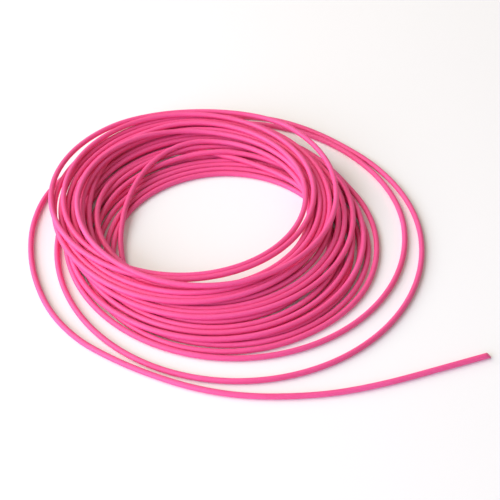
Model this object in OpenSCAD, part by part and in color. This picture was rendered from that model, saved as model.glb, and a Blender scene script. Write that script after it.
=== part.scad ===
// Heavy fishing line: one length of solid round line, lying loose as it comes off a spool.
// Units are millimetres. +Z is up, the line lies on Z = 0, and the origin is under the
// middle of the whole outline. Nothing on it moves: the nodes are stretches of one line,
// and each meets the next face to face.
//
// Turns are counted from the back of the coil (+Y) and run clockwise seen from above, so
// turn 0.25 is at +X, 0.5 at the front and 0.75 at -X. Turns below 1 are the wide ones.

/* [Line] */
// diameter of the line
line_d = 2; // [1.6:0.1:2.4]
// clear space between a turn and the next one beside it
side_gap = 0.6; // [0.6:0.05:0.8]
// clear space between a layer of turns and the one on it
layer_gap = 0.8; // [0.6:0.05:1.2]

/* [Coil] */
// radius of the innermost turn, at the middle of the line
hole_r = 39; // [34:0.5:44]
// turns that spiral in along the surface, the first layer
layer_1_turns = 3.625; // [2.625:1:4.625]
// turns that spiral out on them, the second layer, and in again on that, the third
layer_2_turns = 6.075; // [5.075:1:6.075]
// turns that spiral out on top, the fourth layer
layer_4_turns = 3.75; // [2.75:1:3.75]

/* [Slide of the layers] */
// how far the second layer has slid over the first, along X
layer_2_slide_x = -2.5; // [-3:0.5:-0.5]
// how far the second layer has slid over the first, along Y
layer_2_slide_y = 3.5; // [1:0.5:4]
// how far the third layer has slid over the second, along X
layer_3_slide_x = -4; // [-5:0.5:-2]
// how far the third layer has slid over the second, along Y
layer_3_slide_y = 6; // [4:0.5:6.5]
// how far the top layer has slid over the third, along X
layer_4_slide_x = -8; // [-9:0.5:-4.5]
// how far the top layer has slid over the third, along Y
layer_4_slide_y = 7.5; // [4:0.5:8.5]

/* [Ends] */
// straight length of the free end, up to where its slanting cut starts
free_end_l = 15; // [10:1:20]
// slant of the cut across the free end, from square
cut_slant = 40; // [0:5:50]
// how far the slant is turned round the line, from facing straight up
cut_turn = 45; // [0:15:90]
// straight length of the hidden end
hidden_end_l = 7; // [5:1:12]

/* [Hidden] */

line_colour = [0.93, 0.20, 0.48];
end_colour = [0.80, 0.12, 0.38];

line_r = line_d / 2;
// Where the line lies on the surface it is flat to a tenth of its diameter, so its middle
// is this high.
rest_z = line_r - line_d / 10;
turn_step = line_d + side_gap;
layer_rise = line_d + layer_gap;

coil_sides = 6;
tail_sides = 8;
rings_per_turn = 24;
rings_per_point = 3;

// Middle of the first layer.
coil_x = -8;
coil_y = -1.5;

// From layer to layer the line takes half a turn: it climbs in the first quarter and
// crosses to the next layer's middle in the second.
climb = 0.25;
cross_over = 0.25;
wide_from = -2;
layer_1_from = 1;
layer_1_to = layer_1_from + layer_1_turns;
layer_2_from = layer_1_to + climb + cross_over;
layer_2_to = layer_2_from + layer_2_turns;
layer_3_turns = layer_2_turns - 0.15; // the innermost turn stops as much short of hole_r
layer_3_from = layer_2_to + climb + cross_over;
layer_3_to = layer_3_from + layer_3_turns;
layer_4_from = layer_3_to + climb + cross_over;
layer_4_to = layer_4_from + layer_4_turns;
// The last of the top layer drops off the coil's back, over this share of a turn.
drop_off = 0.1;

// Radius at which the wide turns run into the first layer, and the pile's outer radius, with
// room for the innermost wide turn beside the first layer.
layer_1_r = hole_r + turn_step * layer_1_turns;
pile_r = max(layer_1_r + 6.2, hole_r + turn_step * layer_2_turns);

// The wide turns, sprung out of the coil, from the tail inwards. A row is the turn, its
// radius there, and X and Y of its middle.
wide_rows = [
    [-2.00, pile_r + 14.2, -4.0, 1.8],
    [-1.88, pile_r + 10.8, -4.0, 1.8],
    [-1.70, pile_r + 11.3, -4.0, 1.8],
    [-1.25, pile_r + 11.2, -3.7, 1.8],
    [-1.00, pile_r + 5.4, -5.0, 5.2],
    [-0.75, pile_r + 6.0, -4.9, 5.4],
    [-0.30, pile_r + 6.2, -5.0, 5.6],
    [ 0.00, layer_1_r + 6.2, -7.0, 1.8],
    [ 0.25, layer_1_r + 4.7, -7.0, 0.8],
    [ 0.60, layer_1_r + 4.7, -7.0, 0.8],
    [ 1.00, layer_1_r, coil_x, coil_y]
];

// The free stretch, from the first wide turn behind the coil round to the free end. Its
// points lie at equal angles round this middle, each so far outside pile_r.
tail_middle = [-4, 1.8];
tail_from = 102;
tail_step = 12;
tail_out = [
    14.6, 14.9, 15.4, 16.7, 19.1, 21, 20.9, 20, 19.2, 18.6, 17.3, 15.4, 14.7, 15.5, 17.1, 19.3, 22.9, 27.9
];
// Where the free end starts, and its angle from +X.
free_end_from = 318.4;
free_end_out = 36.2;
free_end_angle = 19;

// ---- The line's course ----

function share(t, from, to) = max(0, min(1, (t - from) / (to - from)));

// A smooth step from 0 to 1.
function ease(t, from, to) = let (u = share(t, from, to)) u * u * (3 - 2 * u);

// The coil's radius goes in, out, in and out again at one steady rate.
function coil_radius(t) =
    layer_1_r + turn_step * (
        layer_2_turns * share(t, layer_2_from, layer_2_to)
        + layer_4_turns * share(t, layer_4_from, layer_4_to)
        - layer_1_turns * share(t, layer_1_from, layer_1_to)
        - layer_3_turns * share(t, layer_3_from, layer_3_to)
    );

function coil_middle(t) =
    [coil_x, coil_y]
    + [layer_2_slide_x, layer_2_slide_y] * ease(t, layer_1_to + climb, layer_2_from)
    + [layer_3_slide_x, layer_3_slide_y] * ease(t, layer_2_to + climb, layer_3_from)
    + [layer_4_slide_x, layer_4_slide_y] * ease(t, layer_3_to + climb, layer_4_from);

function line_height(t) =
    rest_z + layer_rise * (
        ease(t, layer_1_to, layer_1_to + climb)
        + ease(t, layer_2_to, layer_2_to + climb)
        + ease(t, layer_3_to, layer_3_to + climb)
        - ease(t, layer_4_to - drop_off, layer_4_to)
    );

// A wide turn's [radius, x, y], eased from one row to the next.
function wide_turn(t, i = 0) =
    i < len(wide_rows) - 2 && t >= wide_rows[i + 1][0]
        ? wide_turn(t, i + 1)
        : let (
            here = wide_rows[i],
            next = wide_rows[i + 1],
            row = here + (next - here) * ease(t, here[0], next[0])
        ) [row[1], row[2], row[3]];

function coil_turn(t) =
    let (middle = coil_middle(t)) [coil_radius(t), middle.x, middle.y];

// The middle of the line at turn t.
function line_at(t) =
    let (
        turn = t < layer_1_from ? wide_turn(t) : coil_turn(t),
        angle = 90 - 360 * t
    )
    [turn[1] + turn[0] * cos(angle), turn[2] + turn[0] * sin(angle), line_height(t)];

function unit(v) = v / norm(v);
small_turn = 0.001;
function heading_at(t) = unit(line_at(t + small_turn) - line_at(t - small_turn));

// A wound stretch's rings. Its first and last diameter run straight.
function wound(from, to) =
    let (count = round((to - from) * rings_per_turn))
    concat(
        [line_at(from), line_at(from) + line_d * heading_at(from)],
        [for (i = [1 : count - 1]) line_at(from + (to - from) * i / count)],
        [line_at(to) - line_d * heading_at(to), line_at(to)]
    );

// A smooth curve through a, b, c and d, between b and c at u.
function between(a, b, c, d, u) =
    0.5 * (
        2 * b + (c - a) * u
        + (2 * a - 5 * b + 4 * c - d) * u * u
        + (3 * b - a - 3 * c + d) * u * u * u
    );

free_end_way = [cos(free_end_angle), sin(free_end_angle), 0];
tail_start = line_at(wide_from);

// The point at an angle round the tail's middle, a distance outside the pile.
function outside_pile(angle, out, z) =
    [tail_middle.x + (pile_r + out) * cos(angle), tail_middle.y + (pile_r + out) * sin(angle), z];

tail_stop = outside_pile(free_end_from, free_end_out, line_r);

// The tail leaves the surface's flat by the free end, which is round all over.
function tail_height(i) = rest_z + (line_r - rest_z) * ease(i, len(tail_out) - 3, len(tail_out));

tail_course = concat(
    [tail_start + 2 * line_d * heading_at(wide_from), tail_start],
    [for (i = [0 : len(tail_out) - 1]) outside_pile(tail_from + i * tail_step, tail_out[i], tail_height(i))],
    [tail_stop, tail_stop + 6 * line_d * free_end_way]
);

tail_rings = concat(
    [tail_start, tail_start - line_d * heading_at(wide_from)],
    [
        for (i = [1 : len(tail_course) - 3], k = [(i == 1 ? 1 : 0) : rings_per_point - 1])
            between(
                tail_course[i - 1], tail_course[i], tail_course[i + 1], tail_course[i + 2],
                k / rings_per_point
            )
    ],
    [tail_stop - line_d * free_end_way, tail_stop]
);

// ---- Tubes ----

// A tube of the line's diameter along a list of points, flat where it would go below the
// surface. Its ends are square to the first and last run, and all its faces are triangles.
module tube(course, sides) {
    last = len(course) - 1;
    ways = [for (i = [0 : last]) unit(course[min(i + 1, last)] - course[max(i - 1, 0)])];
    corners = [
        for (i = [0 : last])
            let (side = unit(cross(ways[i], [0, 0, 1])), up = cross(side, ways[i]))
            for (k = [0 : sides - 1])
                let (
                    angle = 270 + 360 * (k + 0.5) / sides,
                    corner = course[i] + line_r * (cos(angle) * side + sin(angle) * up)
                )
                [corner.x, corner.y, max(0, corner.z)]
    ];
    walls = [
        for (i = [0 : last - 1], k = [0 : sides - 1])
            let (a = i * sides + k, b = i * sides + (k + 1) % sides)
            each [[a, a + sides, b], [b, a + sides, b + sides]]
    ];
    ends = [
        for (k = [1 : sides - 2])
            each [[0, k, k + 1], [last * sides, last * sides + k + 1, last * sides + k]]
    ];
    polyhedron(points = corners, faces = concat(walls, ends), convexity = 10);
}

// ---- Sub-parts ----

// The end that stands clear of the coil, cut off slantwise: its lower side is the longer.
module free_end() {
    slant_l = line_d * tan(cut_slant);
    cutter = 4 * line_d;
    color(end_colour)
        translate(tail_stop)
            rotate([0, 90, free_end_angle])
                difference() {
                    cylinder(d = line_d, h = free_end_l + slant_l, $fn = 48);
                    rotate([0, 0, -cut_turn])
                        translate([-line_r, 0, free_end_l])
                            rotate([0, -cut_slant, 0])
                                translate([-cutter / 2, -cutter / 2, 0])
                                    cube(cutter);
                }
}

module tail() {
    color(line_colour) tube(tail_rings, tail_sides);
}

module wide_turns() {
    color(line_colour) tube(wound(wide_from, layer_1_from), coil_sides);
}

module lower_turns() {
    color(line_colour) tube(wound(layer_1_from, layer_2_to), coil_sides);
}

module upper_turns() {
    color(line_colour) tube(wound(layer_2_to, layer_4_to), coil_sides);
}

// The end that lies behind the coil, cut off square.
module hidden_end() {
    way = heading_at(layer_4_to);
    color(end_colour)
        translate(line_at(layer_4_to))
            rotate([0, 90, atan2(way.y, way.x)])
                cylinder(d = line_d, h = hidden_end_l, $fn = 48);
}

// ---- Least gap of the line to itself ----

function gap_to_run(p, a, b) =
    let (run = b - a, u = max(0, min(1, (p - a) * run / (run * run))))
    norm(p - a - u * run);

// Half a turn of line next to a point doesn't count: it is the same stretch.
near_rings = rings_per_turn / 2;

function least_gap(course) =
    min([
        for (i = [0 : len(course) - near_rings - 2], j = [i + near_rings : len(course) - 2])
            min(
                gap_to_run(course[i], course[j], course[j + 1]),
                gap_to_run(course[j + 1], course[i], course[i + 1])
            )
    ]) - line_d;

function run_length(course) =
    [for (i = [1 : len(course) - 1]) norm(course[i] - course[i - 1])] * [for (i = [1 : len(course) - 1]) 1];

whole_line = concat(
    [for (i = [len(tail_rings) - 1 : -1 : 1]) tail_rings[i]],
    wound(wide_from, layer_4_to)
);
echo(str("Least gap of the line to itself: ", least_gap(whole_line), " mm"));
echo(str("Length of the line: ", run_length(whole_line) + free_end_l + hidden_end_l, " mm"));

free_end();
tail();
wide_turns();
lower_turns();
upper_turns();
hidden_end();
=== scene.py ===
"""A loose coil of thick pink fishing line, dressed for show.

The whole object is one length of solid round line.  It lies in twenty-six turns and a tail: nearly
three wide turns that have sprung out, and a pile whose upper turns have slid to the back left.
The tail runs round the front to a slanted cut.  The line's way is worked out as numbers, laid
down so that its turns lie on each other and not in each other, and swept into one tube.  It is
not a full settling: a stretch with nothing close under it stands clear, near its route.

Lengths are in millimetres in the classes that lay the line, and in metres from the mesh on.  X
runs to the right, Y to the back and Z up from the surface that the coil lies on.
"""

import logging
import math
from dataclasses import dataclass
from enum import Enum
from typing import Any, Optional, Sequence, Union

import bpy
import numpy as np
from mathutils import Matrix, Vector

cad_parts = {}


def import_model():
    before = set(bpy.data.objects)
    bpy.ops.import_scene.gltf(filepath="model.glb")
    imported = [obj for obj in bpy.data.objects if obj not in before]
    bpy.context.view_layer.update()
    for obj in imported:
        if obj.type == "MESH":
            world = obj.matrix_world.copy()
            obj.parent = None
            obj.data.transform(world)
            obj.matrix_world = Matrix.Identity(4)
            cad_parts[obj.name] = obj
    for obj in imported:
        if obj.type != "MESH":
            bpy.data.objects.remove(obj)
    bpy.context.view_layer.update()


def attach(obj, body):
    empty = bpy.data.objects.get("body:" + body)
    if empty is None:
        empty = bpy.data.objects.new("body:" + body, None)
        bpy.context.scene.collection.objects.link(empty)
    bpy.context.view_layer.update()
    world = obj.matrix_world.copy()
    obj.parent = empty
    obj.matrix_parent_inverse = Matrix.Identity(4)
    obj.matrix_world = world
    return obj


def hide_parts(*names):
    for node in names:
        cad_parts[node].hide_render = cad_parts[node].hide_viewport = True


log = logging.getLogger("line_coil")

METRE = 1000.0  # millimetres
LINE_D = 2.0  # the line's diameter, in millimetres
CAD_NODES = ("free_end", "tail", "wide_turns", "lower_turns", "upper_turns", "hidden_end")


# ---------------------------------------------------------------------------------------------
# Small pieces of arithmetic on whole arrays
# ---------------------------------------------------------------------------------------------


def eased(share: np.ndarray) -> np.ndarray:
    """The share 0 to 1, starting and stopping gently: 3u squared less 2u cubed."""
    u = np.clip(share, 0.0, 1.0)
    return u * u * (3.0 - 2.0 * u)


def way_along(points: np.ndarray) -> np.ndarray:
    """The distance of each point from the first, along straight steps between the points."""
    return np.r_[0.0, np.cumsum(np.linalg.norm(np.diff(points, axis=0), axis=1))]


def glide(points: np.ndarray, places: np.ndarray) -> np.ndarray:
    """Places on the smooth curve that passes through every point.

    Between two points the curve is the cubic that leaves each with the slope of the straight
    step between its two neighbours; at the ends the curve carries straight on.

    Args:
        points: The points, one row each.
        places: Where to read the curve: 2.25 is a quarter of the way from point 2 to point 3.

    Returns:
        One row for each place.
    """
    ends = (2 * points[:1] - points[1:2], points, 2 * points[-1:] - points[-2:-1])
    held = np.concatenate(ends)
    first = np.clip(np.floor(places).astype(int), 0, len(points) - 2)
    u = (places - first)[:, None]
    a, b, c, d = (held[first + step] for step in range(4))
    square, cube = 5 * b - 2 * a - 4 * c + d, 3 * b - a - 3 * c + d
    return b + u * ((c - a) - u * square + u * u * cube) / 2


def evenly(points: np.ndarray, spacing: float) -> np.ndarray:
    """The same curve as points that lie a spacing apart along it.

    Args:
        points: Points on the curve, close enough together to be joined by straight steps.
        spacing: The distance wanted; it is stretched a little to fit a whole number of steps.

    Returns:
        The new points, first and last as before.
    """
    way = way_along(points)
    wanted = np.linspace(0.0, way[-1], max(2, round(way[-1] / spacing)) + 1)
    return np.stack([np.interp(wanted, way, column) for column in points.T], axis=1)


def softened(rows: np.ndarray, reach: float) -> np.ndarray:
    """Each row as the mean of its neighbours, weighted by a bell curve.

    Args:
        rows: The values, one row for each point of the line.
        reach: The bell curve's standard deviation, in rows.

    Returns:
        The softened rows.
    """
    span = int(3 * reach)  # beyond three deviations next to nothing is left of the curve
    bell = np.exp(-0.5 * (np.arange(-span, span + 1) / reach) ** 2)
    padded = np.pad(rows, ((span, span), (0, 0)), mode="edge")
    return np.stack([np.convolve(c, bell / bell.sum(), "valid") for c in padded.T], axis=1)


# ---------------------------------------------------------------------------------------------
# The way that the line takes
# ---------------------------------------------------------------------------------------------


class Way(Enum):
    """How the line gets from one row of its route to the next."""

    STEADY = "at an even rate"
    EASED = "starting and stopping gently"
    CLIMB = "up in the first half, then across in the second"


@dataclass(frozen=True)
class Circle:
    """A circle that the line follows: its radius, its middle and its height, all in mm.

    Its stretch makes it an oval that is so much wider than it is deep.
    """

    radius: float
    x: float
    y: float
    z: float
    stretch: float = 1.0


@dataclass(frozen=True)
class Row:
    """A circle, the turn at which the line is on it, and how the line reaches it."""

    turn: float
    circle: Circle
    way: Way = Way.EASED


@dataclass(frozen=True)
class Course:
    """Turns that go evenly from one circle to another.

    Attributes:
        turns: How many turns they are.
        start: The circle that they begin on.
        stop: The circle that they end on, if it is another.
        change: The part of a turn in which the line then reaches the next course.
        way: How it does that.
    """

    turns: float
    start: Circle
    stop: Optional[Circle] = None
    change: float = 0.5
    way: Way = Way.CLIMB


# The wide turns.  Turns run clockwise as seen from above, and a whole number is at the back.
WIDE_TURNS = (
    Row(-2.00, Circle(69.6, -4.0, 1.8, 1)),
    Row(-1.88, Circle(65.0, -4.0, 1.8, 1)),
    Row(-1.75, Circle(65.9, -4.0, 1.8, 1)),
    Row(-1.50, Circle(66.3, -4.0, 1.8, 1)),
    Row(-1.25, Circle(65.6, -3.6, 1.8, 1)),
    Row(-1.00, Circle(60.8, -5.0, 6.6, 1)),
    Row(-0.87, Circle(60.6, -5.0, 6.6, 1)),
    Row(-0.75, Circle(61.5, -5.1, 6.8, 1)),
    Row(-0.30, Circle(61.5, -5.1, 6.8, 1)),
    Row(0.03, Circle(58.8, -7.0, 1.8, 1)),
    Row(0.17, Circle(53.1, -7.6, 0.7, 1)),
    Row(0.31, Circle(53.3, -7.6, 0.7, 1)),
    Row(0.42, Circle(52.3, -7.6, 0.7, 1)),
    Row(0.60, Circle(53.1, -7.6, 0.7, 1, 0.985)),
)

# The pile, in the order in which the line takes it.
COURSES = (
    # The floor's turns, wound inwards, and the strand that climbs out across the hole.
    Course(4.70, Circle(48.8, -7.8, -1.4, 1, 1.055), Circle(37.8, -8.7, -2.5, 1), 0.3, Way.EASED),
    Course(0.75, Circle(38.4, -17, 11.9, 6.2), change=0.35),
    # The second layer, wound outwards, and the third, which has slid back and is wound inwards.
    Course(3.70, Circle(40.6, -12.3, 1.2, 3.1), Circle(52.7, -11.5, 3.8, 3.1, 1.03), 0.4),
    Course(
        4.50, Circle(51.2, -15, 10.3, 5.2, 1.035), Circle(42, -16.6, 10.6, 5.5), 0.35, Way.EASED
    ),
    # The rim's two turns at the back left, and the one that leaves it over the right side.
    Course(0.65, Circle(41.4, -24, 17.4, 8.8, 1.07), change=0.3, way=Way.EASED),
    Course(0.90, Circle(45.0, -24.6, 19.1, 9.2, 1.067), change=0.2, way=Way.EASED),
    Course(0.65, Circle(45, -12, 18.7, 9.8, 0.98), Circle(46, -16.5, 13.5, 9.8), 0.3, Way.EASED),
    # The roll under the rim, wound outwards, and where the hidden end lies.
    Course(4.70, Circle(41.6, -18.5, 12.1, 7.3), Circle(50.2, -21.6, 16.6, 7.6), 0.25, Way.EASED),
    Course(0.00, Circle(48.8, -21, 15.3, 5.8)),
)


@dataclass
class Route:
    """The way of the line's middle, from the cut end of the tail to the hidden end.

    Attributes:
        line_d: The line's diameter.
        pile_r: The radius round tail_middle that encloses the pile.
        tail_middle: The middle of the circle that the tail's distances are counted from.
        tail_from: The angle of the tail's first point, in degrees anticlockwise from the right.
        tail_step: The angle from one of its points to the next.
        tail_out: How far outside the pile each of its points lies.
        free_end_at: The angle at which the tail's straight end begins.
        free_end_out: How far outside the pile it begins.
        free_end_angle: The way that the free end points, in degrees.
        free_end_length: The length of its straight stretch.
        tail_fine: How many points the tail is read at for each of those given.
        pile_from: The turn at which the line is on the pile's first course.
        fine_points: How many points the turns are worked out at before they are spaced evenly.
        guide_step: How far apart, in those points, the three lie that guide the tail into them.
        hidden_end_length: The length of the other end's straight stretch.
        hidden_end_span: Over how many of the fine points the way that it goes on is read.
        stray: How far a turn strays from its circle, in radius and in height.
        stray_step: The part of a turn from one stray to the next.
        stray_from: The turn from which the line strays, at first a little.
        stray_grows: The part of a turn in which the strays come to their whole size.
        seed: What the strays are drawn from.
    """

    line_d: float = LINE_D
    pile_r: float = 54.8
    tail_middle: tuple[float, float] = (-4.0, 1.8)
    tail_from: float = 102.0
    tail_step: float = 12.0
    tail_out: tuple[float, ...] = (
        14.8, 14.9, 15.2, 16.7, 19.1, 21.0, 20.9, 20.0, 19.2,
        18.6, 17.3, 15.4, 14.7, 15.5, 17.1, 19.3, 22.9, 27.9,
    )  # fmt: skip
    free_end_at: float = 318.4
    free_end_out: float = 36.2
    free_end_angle: float = 19.0
    free_end_length: float = 16.7
    tail_fine: int = 12
    pile_from: float = 1.0
    fine_points: int = 12000
    guide_step: int = 15
    hidden_end_length: float = 7.0
    hidden_end_span: int = 7
    stray: tuple[float, float] = (0.5, 0.25)
    stray_step: float = 0.3
    stray_from: float = 0.8
    stray_grows: float = 0.5
    seed: int = 7

    def rows(self) -> list[Row]:
        """The wide turns' rows, then two for each course: where it starts and where it stops."""
        found, turn, way = list(WIDE_TURNS), self.pile_from, Way.EASED
        for course in COURSES:
            found.append(Row(turn, course.start, way))
            if course.turns:
                stop = course.stop or course.start
                found.append(Row(turn + course.turns, stop, Way.STEADY))
            turn, way = turn + course.turns + course.change, course.way
        return found

    def strays(self, turns: np.ndarray, last_turn: float) -> np.ndarray:
        """How far the line wanders off its circles, as a real coil's turns do.

        A stray is drawn for every stray_step of a turn, and the line between them is the
        uniform cubic B-spline of those draws.

        Args:
            turns: Where on the route the strays are read.
            last_turn: The turn at which the route ends.

        Returns:
            The stray in radius and in height, one row for each of the turns.
        """
        draws = np.random.default_rng(self.seed)
        count = int((last_turn - turns[0]) / self.stray_step) + 4
        knots = draws.uniform(-1, 1, (count, 2)) * np.array(self.stray)
        place = (turns - turns[0]) / self.stray_step
        first = np.minimum(place.astype(int), count - 4)
        u = (place - first)[:, None]
        a, b, c, d = (knots[first + step] for step in range(4))
        bend = (3 * u**3 - 6 * u**2 + 4) * b + (-3 * u**3 + 3 * u**2 + 3 * u + 1) * c
        wander = ((1 - u) ** 3 * a + bend + u**3 * d) / 6
        wander[:, 1] = np.abs(wander[:, 1])
        return wander * eased((turns - self.stray_from) / self.stray_grows)[:, None]

    def turned(self, turns: np.ndarray) -> np.ndarray:
        """Points on the wide turns and the pile, seen from above clockwise.

        A point lies at its row's radius from its row's middle, at an angle of 90 degrees less
        360 for each turn.

        Args:
            turns: The turns at which the points are wanted.

        Returns:
            One point for each.
        """
        rows = self.rows()
        at = np.array([row.turn for row in rows])
        circles = np.array(
            [[c.radius, c.x, c.y, c.stretch, c.z] for c in (row.circle for row in rows)]
        )
        before = np.clip(np.searchsorted(at, turns, side="right") - 1, 0, len(rows) - 2)
        ways = np.array([list(Way).index(row.way) for row in rows])[before + 1]
        u = (turns - at[before]) / (at[before + 1] - at[before])
        slid = np.choose(ways, [u, eased(u), eased(2 * u - 1)])[:, None]
        risen = np.choose(ways, [u, eased(u), eased(2 * u)])
        start, stop = circles[before], circles[before + 1]
        radius, x, y, stretch = (start + (stop - start) * slid)[:, :4].T
        height = start[:, 4] + (stop - start)[:, 4] * risen
        wander = self.strays(turns, at[-1])
        angle = np.radians(90.0 - 360.0 * turns)
        out = radius + wander[:, 0]
        return np.stack(
            [x + out * stretch * np.cos(angle), y + out * np.sin(angle), height + wander[:, 1]],
            axis=1,
        )

    def outside(self, angle: np.ndarray, out: np.ndarray) -> np.ndarray:
        """Points on the surface, out beyond the pile at these angles round tail_middle."""
        turn, far = np.radians(angle), self.pile_r + out
        x, y = self.tail_middle
        rest = np.full_like(far, self.line_d / 2)
        return np.stack([x + far * np.cos(turn), y + far * np.sin(turn), rest], axis=1)

    def tail(self, wide: np.ndarray) -> np.ndarray:
        """The tail, from its cut end to where it goes over into the wide turns.

        Args:
            wide: The points that guide it into the wide turns, their very first one first.

        Returns:
            Its points, the cut end first.
        """
        out = np.array(self.tail_out)
        bends = self.outside(self.tail_from + self.tail_step * np.arange(len(out)), out)
        stop = self.outside(np.array([self.free_end_at]), np.array([self.free_end_out]))
        way = np.radians(self.free_end_angle)
        straight = np.linspace(0, self.free_end_length, 4)[:, None]
        end = stop + straight * np.array([np.cos(way), np.sin(way), 0.0])
        through = np.concatenate([wide[::-1], bends, end])
        places = np.linspace(0, len(through) - 1, self.tail_fine * len(through))
        curve = glide(through, places)
        met = np.linalg.norm(curve - wide[0], axis=1).argmin()
        return curve[met + 1 :][::-1]

    def points(self, spacing: float) -> np.ndarray:
        """The whole route, the tail's cut end first, as points a spacing apart."""
        turns = np.linspace(WIDE_TURNS[0].turn, self.rows()[-1].turn, self.fine_points)
        coil = self.turned(turns)
        guides = coil[: 2 * self.guide_step + 1 : self.guide_step]
        way = coil[-1] - coil[-1 - self.hidden_end_span]
        way[2] = 0.0
        half = way / np.linalg.norm(way) * self.hidden_end_length / 2
        ending = [coil[-1] + half, coil[-1] + 2 * half]
        return evenly(np.concatenate([self.tail(guides), coil, ending]), spacing)


@dataclass
class Laying:
    """Lays a route down, roughly as a springy line would lie.

    Each point of the route is pulled down a little at a time.  Points of different turns that
    are closer than the line's diameter push each other apart, the surface holds the line up,
    and what the line has moved by is smoothed along it, which is its stiffness.  A pull back to
    the route keeps the coil's form.  With these numbers it balances the fall about a millimetre
    below the route, so a stretch that meets nothing by then stays in the air.

    Attributes:
        line_d: The line's diameter.
        spacing: The distance between the points that are laid.
        steps: How many steps the laying takes.
        rounds: How many times touching turns are pushed apart in a step.
        ease: What those pushes are multiplied by.
        fall: How far the line falls in a step.
        hold: How much of a shift across and of a drop is given back in a step.
        stiffness: How much of the smoothing is taken in a step.
        bend_reach: How far along the line a push is spread, in points.
        last_steps: How many more steps only push touching turns apart.
        last_stiffness: How much of the smoothing is taken in each of them.
        last_reach: How far along the line a push is then spread, in points.
        reach: Two points that are closer than this are watched.
        apart: Points of the line that are this many or fewer from each other aren't watched.
        beside: How far ahead along the other turn a point that is pushed may be, in spacings.
        watch_every: How many steps pass before the watched points are chosen afresh.
        watch_last: The same for the last steps.
        block: How many points are compared with the rest at once.
    """

    line_d: float = LINE_D
    spacing: float = 2.0
    steps: int = 300
    rounds: int = 3
    ease: float = 1.2
    fall: float = 0.012
    hold: tuple[float, float] = (0.004, 0.012)
    stiffness: float = 0.5
    bend_reach: float = 6.0
    last_steps: int = 120
    last_stiffness: float = 0.15
    last_reach: float = 2.0
    reach: float = 3.5
    apart: int = 12
    beside: float = 0.55
    watch_every: int = 12
    watch_last: int = 30
    block: int = 600

    def near(self, points: np.ndarray) -> tuple[np.ndarray, np.ndarray]:
        """Pairs of points on different turns that lie within reach, a block at a time.

        The square of the distance is the sum of the two points' squares less twice their
        product, for every pair at once.

        Args:
            points: The points of the line.

        Returns:
            The first and the second point's number of each pair.
        """
        fine = points.astype(np.float32)
        square = (fine**2).sum(axis=1)
        firsts, seconds = [], []
        for start in range(0, len(fine), self.block):
            block = slice(start, start + self.block)
            gap = square[block, None] + square[None, :] - 2 * fine[block] @ fine.T
            i, j = np.nonzero(gap < self.reach**2)
            apart = np.abs(i + start - j) > self.apart
            firsts.append(i[apart] + start)
            seconds.append(j[apart])
        return np.concatenate(firsts), np.concatenate(seconds)

    def pushes(
        self, points: np.ndarray, pairs: tuple[np.ndarray, np.ndarray], ease: float
    ) -> np.ndarray:
        """How far each point is pushed by the turns that it touches.

        The push is half of what the distance lacks of a diameter, straight away from the other
        turn, and a point pushed by several takes their mean.

        Args:
            points: The points of the line.
            pairs: The pairs of points that are close to each other.
            ease: What the push is multiplied by.

        Returns:
            One push for each point.
        """
        along = np.gradient(points, axis=0)
        along /= np.linalg.norm(along, axis=1)[:, None]
        i, j = pairs
        gap = points[i] - points[j]
        ahead = (gap * along[j]).sum(axis=1)
        beside = np.abs(ahead) < self.beside * self.spacing
        i, j = i[beside], j[beside]
        gap = gap[beside] - ahead[beside, None] * along[j]
        length = np.linalg.norm(gap, axis=1)
        short = length < self.line_d
        i, j, gap, length = i[short], j[short], gap[short], np.maximum(length[short], 1e-6)
        share = gap * ((self.line_d - length) / length / 2)[:, None]
        count = len(points)
        felt = np.bincount(i, minlength=count) + np.bincount(j, minlength=count)
        sums = [
            np.bincount(i, column, count) - np.bincount(j, column, count) for column in share.T
        ]
        return np.stack(sums, axis=1) / np.maximum(felt / 2, 1)[:, None] * ease

    def laid(self, route: np.ndarray) -> np.ndarray:
        """The route as it is laid.

        Args:
            route: The route's points, a spacing apart.

        Returns:
            The same points where they are at the last step.
        """
        points, surface = route.copy(), self.line_d / 2
        pairs = self.near(points)
        for step in range(self.steps):
            if step % self.watch_every == 0:
                pairs = self.near(points)
            points[:, 2] -= self.fall
            for _ in range(self.rounds):
                points += self.pushes(points, pairs, self.ease)
                points[:, 2] = np.maximum(points[:, 2], surface)
            moved = points - route
            moved += self.stiffness * (softened(moved, self.bend_reach) - moved)
            moved *= 1 - np.array([self.hold[0], self.hold[0], self.hold[1]])
            points = route + moved
            points[:, 2] = np.maximum(points[:, 2], surface)
        for step in range(self.last_steps):
            if step % self.watch_last == 0:
                pairs = self.near(points)
            points += self.pushes(points, pairs, 1.0)
            points[:, 2] = np.maximum(points[:, 2], surface)
            moved = points - route
            softer = softened(moved, self.last_reach) - moved
            points = route + moved + self.last_stiffness * softer
        return points


# ---------------------------------------------------------------------------------------------
# Shader sums
# ---------------------------------------------------------------------------------------------

Given = Union["Wire", float, Sequence[float]]


class Wire:
    """A node's output, on which sums can be written."""

    def __init__(self, graph: "Graph", socket: bpy.types.NodeSocket) -> None:
        """Keeps the socket and the graph that it belongs to."""
        self.graph = graph
        self.socket = socket

    def sum_of(self, operation: str, first: Given, second: Given) -> "Wire":
        """A Math node on two values."""
        return self.graph.node("ShaderNodeMath", {"operation": operation}, {0: first, 1: second})

    def __add__(self, other: Given) -> "Wire":
        """This and the other."""
        return self.sum_of("ADD", self, other)

    def __radd__(self, other: Given) -> "Wire":
        """The other and this."""
        return self.sum_of("ADD", other, self)

    def __sub__(self, other: Given) -> "Wire":
        """This less the other."""
        return self.sum_of("SUBTRACT", self, other)

    def __mul__(self, other: Given) -> "Wire":
        """This times the other."""
        return self.sum_of("MULTIPLY", self, other)

    def __rmul__(self, other: Given) -> "Wire":
        """The other times this."""
        return self.sum_of("MULTIPLY", other, self)

    def clipped(self) -> "Wire":
        """This, kept between 0 and 1."""
        return self.graph.node("ShaderNodeClamp", {}, {"Value": self})


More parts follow.
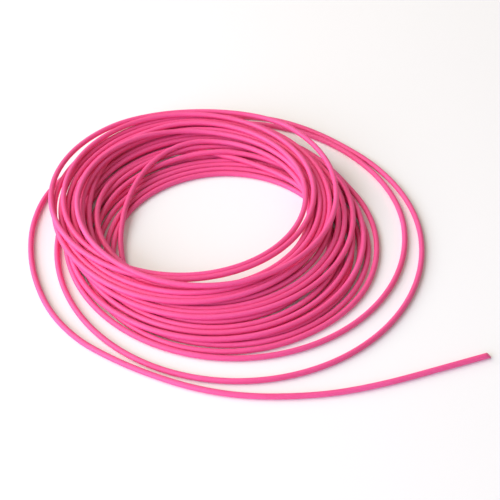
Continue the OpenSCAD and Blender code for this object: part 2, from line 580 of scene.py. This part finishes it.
class Graph:
    """The nodes of one material or of the world."""

    def __init__(self, tree: bpy.types.NodeTree) -> None:
        """Empties the tree.

        Args:
            tree: The node tree to fill.
        """
        self.tree = tree
        self.tree.nodes.clear()

    def node(
        self,
        kind: str,
        settings: dict[str, Any],
        inputs: dict[Union[str, int], Given],
        output: Union[str, int] = 0,
    ) -> Wire:
        """Adds a node.

        Args:
            kind: The node's type.
            settings: Its own settings, set before its sockets.
            inputs: The value or wire of each socket.
            output: The output that is wanted.

        Returns:
            The wire from that output.
        """
        made = self.tree.nodes.new(kind)
        for name, value in settings.items():
            setattr(made, name, value)
        for name, value in inputs.items():
            if isinstance(value, Wire):
                self.tree.links.new(value.socket, made.inputs[name])
            else:
                made.inputs[name].default_value = value
        return Wire(self, made.outputs[output])

    def mixed(self, share: Given, first: Given, second: Given) -> Wire:
        """A colour between two others.

        Args:
            share: 0 for the first and 1 for the second.
            first: The first colour.
            second: The second colour.

        Returns:
            The wire of the mixed colour.
        """
        settings = {"data_type": "RGBA", "clamp_factor": True}
        return self.node("ShaderNodeMix", settings, {0: share, 6: first, 7: second}, 2)

    def finish(self, shader: Wire, kind: str = "ShaderNodeOutputMaterial") -> None:
        """Adds the output node and joins the shader to it."""
        target = self.tree.nodes.new(kind)
        self.tree.links.new(shader.socket, target.inputs["Surface"])


# ---------------------------------------------------------------------------------------------
# Finishes
# ---------------------------------------------------------------------------------------------


@dataclass(frozen=True)
class PinkNylon:
    """Solid dyed line, drawn through a die: matte, with a soft gloss and faint drawn streaks.

    Attributes:
        dye: The line's colour.
        thick_dye: The colour where the dye is denser.
        thin_dye: The colour where the surface is scuffed paler.
        roughness: The roughness of a clean and of a scuffed stretch.
        gloss: The specular level.
        index: The index of refraction.
        clouds: How many swings the dye's patches have in a millimetre, along and across.
        streaks: The same for the drawn streaks.
        grains: The same for the scuffs.
        layers: How many finer layers the patches, the streaks and the scuffs have.
        layer_share: How strong each finer layer is next to the one before.
        patchy: How the patches are made of their noise: its start, its gain, and the streaks'
            part in it.
        scuffed: The same for the scuffs.
        scuff_share: How far a whole scuff turns the colour to thin_dye.
        rough_shares: The streaks' and the scuffs' part in the roughness.
        relief_shares: The streaks' and the grains' part in the relief.
        relief: The relief's strength, and its depth in metres.
    """

    dye: tuple[float, float, float] = (0.93, 0.112, 0.355)
    thick_dye: tuple[float, float, float] = (0.86, 0.080, 0.26)
    thin_dye: tuple[float, float, float] = (0.95, 0.175, 0.46)
    roughness: tuple[float, float] = (0.44, 0.62)
    gloss: float = 0.36
    index: float = 1.53
    clouds: tuple[float, float, float] = (0.035, 0.12, 0.12)
    streaks: tuple[float, float, float] = (0.10, 2.6, 2.6)
    grains: tuple[float, float, float] = (1.6, 2.6, 2.6)
    layers: tuple[float, float, float] = (3.0, 3.0, 2.0)
    layer_share: float = 0.55
    patchy: tuple[float, float, float] = (0.36, 1.9, 0.7)
    scuffed: tuple[float, float, float] = (0.56, 4.0, 1.2)
    scuff_share: float = 0.55
    rough_shares: tuple[float, float] = (0.35, 0.65)
    relief_shares: tuple[float, float] = (0.6, 0.4)
    relief: tuple[float, float] = (0.28, 0.00006)

    def material(self) -> bpy.types.Material:
        """The material, on the coordinates of the line as if it were pulled straight."""
        made = bpy.data.materials.new("pink_nylon")
        made.use_nodes = True
        graph = Graph(made.node_tree)
        place = graph.node("ShaderNodeAttribute", {"attribute_name": "straight"}, {}, "Vector")
        of_each = zip((self.clouds, self.streaks, self.grains), self.layers)
        clouds, streaks, grains = (self.pattern(graph, place, *each) for each in of_each)
        even = self.marks(clouds, streaks, self.patchy)
        worn = self.marks(grains, streaks, self.scuffed)
        tone = graph.mixed(even, (*self.thick_dye, 1), (*self.dye, 1))
        tone = graph.mixed(worn * self.scuff_share, tone, (*self.thin_dye, 1))
        low, high = self.roughness
        by_streaks, by_scuffs = self.rough_shares
        rough = low + (high - low) * (by_streaks * streaks + by_scuffs * worn)
        of_streaks, of_grains = self.relief_shares
        height = of_streaks * streaks + of_grains * grains
        strength, depth = self.relief
        bump = graph.node(
            "ShaderNodeBump", {}, {"Strength": strength, "Distance": depth, "Height": height}
        )
        shader = graph.node(
            "ShaderNodeBsdfPrincipled",
            {},
            {
                "Base Color": tone,
                "Roughness": rough,
                "Specular IOR Level": self.gloss,
                "IOR": self.index,
                "Normal": bump,
            },
        )
        graph.finish(shader)
        return made

    @staticmethod
    def marks(noise: Wire, streaks: Wire, how: tuple[float, float, float]) -> Wire:
        """Patches of the noise, drawn out by the streaks.

        The noise less its start is multiplied by its gain, and the streaks' own swing round
        their middle is added, and all of it is kept between 0 and 1.

        Args:
            noise: The noise.
            streaks: The drawn streaks.
            how: The start, the gain and how much of the streaks is added.

        Returns:
            The wire of the patches.
        """
        start, gain, drawn = how
        return ((noise - start) * gain + (streaks - 0.5) * drawn).clipped()

    def pattern(self, graph: Graph, place: Wire, swings: Sequence[float], layers: float) -> Wire:
        """Noise on the straightened line.

        Args:
            graph: The graph to add it to.
            place: The line's own coordinates, in millimetres.
            swings: How many swings of the noise there are in a millimetre, along and across.
            layers: How many finer layers it has.

        Returns:
            The wire of its value.
        """
        scaled = graph.node(
            "ShaderNodeVectorMath", {"operation": "MULTIPLY"}, {0: place, 1: tuple(swings)}
        )
        inputs = {"Vector": scaled, "Scale": 1.0, "Detail": layers, "Roughness": self.layer_share}
        return graph.node("ShaderNodeTexNoise", {}, inputs)


@dataclass(frozen=True)
class WhiteTable:
    """A matte white surface that looks white wherever no shadow lies.

    Attributes:
        white: Its colour.
        lift: What the view adds to it, so that the open surface is plain white.
        roughness: How rough it is.
        gloss: The specular level.
    """

    white: tuple[float, float, float] = (0.945, 0.960, 0.970)
    lift: float = 0.02
    roughness: float = 0.9
    gloss: float = 0.1

    def material(self) -> bpy.types.Material:
        """The material: plain white, with a little light of its own for the view alone."""
        made = bpy.data.materials.new("white_table")
        made.use_nodes = True
        graph = Graph(made.node_tree)
        seen = seen_directly(graph)
        glow = graph.mixed(seen, (0, 0, 0, 1), (self.lift, self.lift, self.lift, 1))
        shader = graph.node(
            "ShaderNodeBsdfPrincipled",
            {},
            {
                "Base Color": (*self.white, 1),
                "Roughness": self.roughness,
                "Specular IOR Level": self.gloss,
                "Emission Color": glow,
                "Emission Strength": 1.0,
            },
        )
        graph.finish(shader)
        return made


def seen_directly(graph: Graph) -> Wire:
    """1 for what the view, a gloss or a clear part shows, and 0 for what lights the coil."""
    camera = graph.node("ShaderNodeLightPath", {}, {}, "Is Camera Ray")
    gloss = graph.node("ShaderNodeLightPath", {}, {}, "Is Glossy Ray")
    through = graph.node("ShaderNodeLightPath", {}, {}, "Is Transmission Ray")
    return (camera + gloss + through).clipped()


# ---------------------------------------------------------------------------------------------
# The coil
# ---------------------------------------------------------------------------------------------


def mesh_of(
    name: str, points: np.ndarray, corners: np.ndarray, sizes: np.ndarray
) -> bpy.types.Mesh:
    """A mesh from whole arrays.

    Args:
        name: The mesh's name.
        points: Its points, in metres.
        corners: The points' numbers, face after face.
        sizes: How many corners each face has.

    Returns:
        The mesh, shaded smooth.
    """
    mesh = bpy.data.meshes.new(name)
    mesh.vertices.add(len(points))
    mesh.vertices.foreach_set("co", points.astype(np.float32).ravel())
    mesh.loops.add(len(corners))
    mesh.loops.foreach_set("vertex_index", corners.astype(np.int32))
    mesh.polygons.add(len(sizes))
    starts = np.concatenate([[0], np.cumsum(sizes)[:-1]]).astype(np.int32)
    mesh.polygons.foreach_set("loop_start", starts)
    mesh.polygons.foreach_set("use_smooth", np.ones(len(sizes), dtype=bool))
    mesh.update(calc_edges=True)
    mesh.validate()
    return mesh


@dataclass
class LineCoil:
    """The whole line: its route, laid down and swept into one closed tube.

    Attributes:
        route: The way that it takes.
        laying: How it is laid down.
        finish: What it is made of.
        ring_step: The distance from one ring of the tube to the next.
        fine: How many points the laid line is read at for each laid one.
        sides: How many sides a ring has.
        cut_slant: How far the free end's cut leans, in degrees.
        cut_turn: Where its foremost edge is, in degrees round the line: 0 is at the back of the
            line, 90 on top and 270 at the bottom.
        cut_reach: How far back from the cut the rings lean with it.
        burr: How far the edge of a cut is rounded, as a share of the line's radius.
        burr_depth: How deep that rounding is, as a share of its width.
        strip_margins: The share of a strip's length and of its width that the flat picture of
            the surface leaves free at each side.
    """

    route: Route
    laying: Laying
    finish: PinkNylon
    ring_step: float = 1.5
    fine: int = 6
    sides: int = 16
    cut_slant: float = 40.0
    cut_turn: float = 270.0
    cut_reach: float = 5.0
    burr: float = 0.12
    burr_depth: float = 0.6
    strip_margins: tuple[float, float] = (0.004, 0.05)

    def middle(self) -> np.ndarray:
        """The middle of each ring of the tube, the free end first, in millimetres."""
        laid = self.laying.laid(self.route.points(self.laying.spacing))
        curve = glide(laid, np.linspace(0, len(laid) - 1, self.fine * len(laid)))
        return evenly(curve, self.ring_step)

    def tube(self, middle: np.ndarray) -> tuple[np.ndarray, np.ndarray]:
        """The rings of the tube, and the same points on the line pulled straight.

        A ring's point lies at the line's radius from its middle: sideways by the cosine of its
        angle and upwards by the sine, where sideways is level and at right angles to the line.
        Near the free end each ring leans: a point slides back along the line by the slant's
        tangent times its distance from the cut's foremost edge.  Each end has a smaller ring
        for its rounded edge and one point in the middle.

        Args:
            middle: The middle of each ring.

        Returns:
            The points, and where each lies on the straight line, both in millimetres.
        """
        radius = self.route.line_d / 2
        ahead = np.gradient(middle, axis=0)
        ahead /= np.linalg.norm(ahead, axis=1)[:, None]
        side = np.cross(ahead, [0.0, 0.0, 1.0])
        side /= np.linalg.norm(side, axis=1)[:, None]
        above = np.cross(side, ahead)
        way = way_along(middle)

        angle = np.arange(self.sides) / self.sides * 2 * np.pi
        ring = np.stack([np.cos(angle), np.sin(angle)], axis=1) * radius
        lean = np.tan(np.radians(self.cut_slant)) * (
            radius - radius * np.cos(angle - np.radians(self.cut_turn))
        )
        share = np.clip(1 - way / self.cut_reach, 0, 1)

        rows = np.arange(len(middle))
        rows = np.concatenate([[0, 0], rows, [rows[-1], rows[-1]]])
        size = np.ones(len(rows))
        size[[0, -1]], size[[1, -2]] = 0.0, 1 - self.burr
        depth = self.burr * radius * self.burr_depth
        nudge = np.zeros(len(rows))
        nudge[[0, 1]], nudge[[-2, -1]] = -depth, depth
        flat = lean.mean() + (lean - lean.mean()) * size[:, None]
        slide = nudge[:, None] + share[rows, None] * flat
        out = ring[None, :, :] * size[:, None, None]
        points = (
            middle[rows][:, None, :]
            + out[..., :1] * side[rows][:, None, :]
            + out[..., 1:] * above[rows][:, None, :]
            + slide[..., None] * ahead[rows][:, None, :]
        )
        straight = np.concatenate([(way[rows][:, None] + slide)[..., None], out], axis=2)
        return points, straight

    def mesh(self, middle: np.ndarray) -> bpy.types.Mesh:
        """The tube's mesh, with its coordinates on the straight line as an attribute.

        The first and the last ring have shrunk to a point, and one point of each is kept.  The
        rings between are joined by four-cornered faces, and each end's point to its ring by
        three-cornered ones.

        Args:
            middle: The middle of each ring.

        Returns:
            The closed mesh, its faces outwards.
        """
        points, straight = (each.reshape(-1, 3) for each in self.tube(middle))
        sides, rings = self.sides, len(middle) + 4
        first, last = sides - 1, (rings - 1) * sides
        keep = np.r_[first, np.arange(sides, last + 1)]
        points, straight = points[keep], straight[keep]
        ring = np.arange(rings - 2) * sides + 1
        step = np.arange(sides)
        here = ring[:-1, None] + step
        beside = ring[:-1, None] + (step + 1) % sides
        quads = np.stack([here, here + sides, beside + sides, beside], axis=2).reshape(-1, 4)
        begin = np.stack([np.zeros(sides, int), 1 + step, 1 + (step + 1) % sides], axis=1)
        final = ring[-1]
        finish = np.stack(
            [np.full(sides, final + sides), final + (step + 1) % sides, final + step], axis=1
        )
        corners = np.concatenate([quads.ravel(), begin.ravel(), finish.ravel()])
        sizes = np.r_[np.full(len(quads), 4), np.full(2 * sides, 3)]
        made = mesh_of("line", points / METRE, corners, sizes)
        place = made.attributes.new("straight", "FLOAT_VECTOR", "POINT")
        place.data.foreach_set("vector", straight.astype(np.float32).ravel())
        # A UV map named OFBake, with the line's surface laid out flat in strips.
        flat = made.uv_layers.new(name="OFBake")
        flat.uv.foreach_set("vector", self.laid_flat(rings).astype(np.float32).ravel())
        made.materials.append(self.finish.material())
        return made

    def laid_flat(self, rings: int) -> np.ndarray:
        """Where each corner of the faces lies on a flat picture of the line's surface.

        The line is cut into as many equal lengths as make the picture square, and they lie on it
        as strips side by side: u runs along the line, and v once round it in each strip.

        Args:
            rings: How many rings the tube has, counting the point at each end as one.

        Returns:
            The u and v of each corner, in the order of the mesh's faces.
        """
        step, last = np.arange(self.sides)[:, None], rings - 1
        across = step + np.array([0, 0, 1, 1])
        along = 1 + np.arange(rings - 3)[:, None, None] + np.array([0, 1, 1, 0])
        begin = (np.array([0, 1, 1]), step + np.array([0.5, 0, 1]))
        finish = (np.array([last, last - 1, last - 1]), step + np.array([0.5, 1, 0]))
        count = round(math.sqrt(rings * self.ring_step / (math.pi * self.route.line_d)))
        held = math.ceil(last / count)
        long_edge, wide_edge = self.strip_margins
        found = []
        for row, place in ((along, across), begin, finish):
            row, place = np.broadcast_arrays(row, place)
            strip = row.min(axis=-1, keepdims=True) // held
            u = long_edge + (1 - 2 * long_edge) * (row - strip * held) / held
            v = (strip + wide_edge + (1 - 2 * wide_edge) * place / self.sides) / count
            found.append(np.stack([u, v], axis=-1).reshape(-1, 2))
        return np.concatenate(found)

    def build(self) -> bpy.types.Object:
        middle = self.middle()
        piece = bpy.data.objects.new("line", self.mesh(middle))
        bpy.context.scene.collection.objects.link(piece)
        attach(piece, "root")
        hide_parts(*CAD_NODES)
        return piece


# ---------------------------------------------------------------------------------------------
# The stage
# ---------------------------------------------------------------------------------------------


@dataclass(frozen=True)
class SoftBox:
    """A square lamp that faces the coil.

    Attributes:
        name: Its name.
        place: Where it hangs, in metres.
        size: Its side, in metres.
        power: Its power, in watts.
        tint: Its colour.
    """

    name: str
    place: tuple[float, float, float]
    size: float
    power: float
    tint: tuple[float, float, float]


@dataclass
class Stage:
    """The white table, the light and the view.

    Attributes:
        finish: What the table is made of.
        table: The table's width, in metres.
        aim: Where the view looks.
        distance: How far away it stands.
        elevation: How far above the table it looks from, in degrees.
        lens: The lens, in millimetres.
        sensor: The width of what it throws its picture on, in millimetres.
        clip: The nearest and the furthest that it sees, in metres.
        sky: The strength of the even light from all round.
        sky_tint: Its colour, a little warm.
        lamps: A warm lamp high on the left and a cool, lower one at the front left.
    """

    finish: WhiteTable
    table: float = 12.0
    aim: tuple[float, float, float] = (0.0, -0.0032, 0.0)
    distance: float = 0.45
    elevation: float = 45.0
    lens: float = 90.0
    sensor: float = 36.0
    clip: tuple[float, float] = (0.01, 50.0)
    sky: float = 0.33
    sky_tint: tuple[float, float, float] = (1.09, 1.00, 0.87)
    lamps: tuple[SoftBox, ...] = (
        SoftBox("left_box", (-1.15, 0.15, 0.95), 1.6, 25.5, (1.04, 0.99, 0.91)),
        SoftBox("front_box", (-1.00, -0.95, 0.52), 1.1, 13.5, (0.87, 0.94, 1.38)),
    )

    def lay_table(self) -> None:
        """A flat square that the line lies on."""
        half = self.table / 2
        corners = np.array([[-half, -half], [half, -half], [half, half], [-half, half]])
        points = np.concatenate([corners, np.zeros((4, 1))], axis=1)
        mesh = mesh_of("table", points, np.arange(4), np.array([4]))
        mesh.materials.append(self.finish.material())
        table = bpy.data.objects.new("table", mesh)
        bpy.context.scene.collection.objects.link(table)

    def set_sky(self) -> None:
        """Even light from all round, which the view itself sees as white."""
        world = bpy.data.worlds.new("studio")
        world.use_nodes = True
        graph = Graph(world.node_tree)
        seen = seen_directly(graph)
        level = (*(self.sky * share for share in self.sky_tint), 1)
        colour = graph.mixed(seen, level, (1, 1, 1, 1))
        shader = graph.node("ShaderNodeBackground", {}, {"Color": colour, "Strength": 1.0})
        graph.finish(shader, "ShaderNodeOutputWorld")
        bpy.context.scene.world = world

    @staticmethod
    def add_lamp(box: SoftBox) -> None:
        """Hangs a lamp, turned to the middle of the table."""
        lamp = bpy.data.lights.new(box.name, "AREA")
        lamp.energy, lamp.size, lamp.color = box.power, box.size, box.tint
        holder = bpy.data.objects.new(box.name, lamp)
        holder.location = box.place
        holder.rotation_euler = (-Vector(box.place)).to_track_quat("-Z", "Y").to_euler()
        bpy.context.scene.collection.objects.link(holder)

    def set_view(self) -> None:
        """The camera, in front of the coil and looking down on it."""
        lens = bpy.data.cameras.new("view")
        lens.lens, lens.sensor_width = self.lens, self.sensor
        lens.clip_start, lens.clip_end = self.clip
        up = math.radians(self.elevation)
        back = Vector((0.0, -math.cos(up), math.sin(up)))
        holder = bpy.data.objects.new("view", lens)
        holder.location = Vector(self.aim) + back * self.distance
        holder.rotation_euler = (-back).to_track_quat("-Z", "Y").to_euler()
        bpy.context.scene.collection.objects.link(holder)
        bpy.context.scene.camera = holder

    def build(self) -> None:
        """Sets the whole stage."""
        self.lay_table()
        self.set_sky()
        for box in self.lamps:
            self.add_lamp(box)
        self.set_view()
        bpy.context.scene.view_settings.view_transform = "Standard"


def main() -> None:
    """Builds the coil and its stage, and notes how many faces the line has."""
    logging.basicConfig(level=logging.INFO, format="%(name)s: %(message)s")
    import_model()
    coil = LineCoil(Route(), Laying(), PinkNylon())
    piece = coil.build()
    log.info("%s: %d faces", piece.name, len(piece.data.polygons))
    Stage(WhiteTable()).build()


if __name__ == "__main__":
    main()
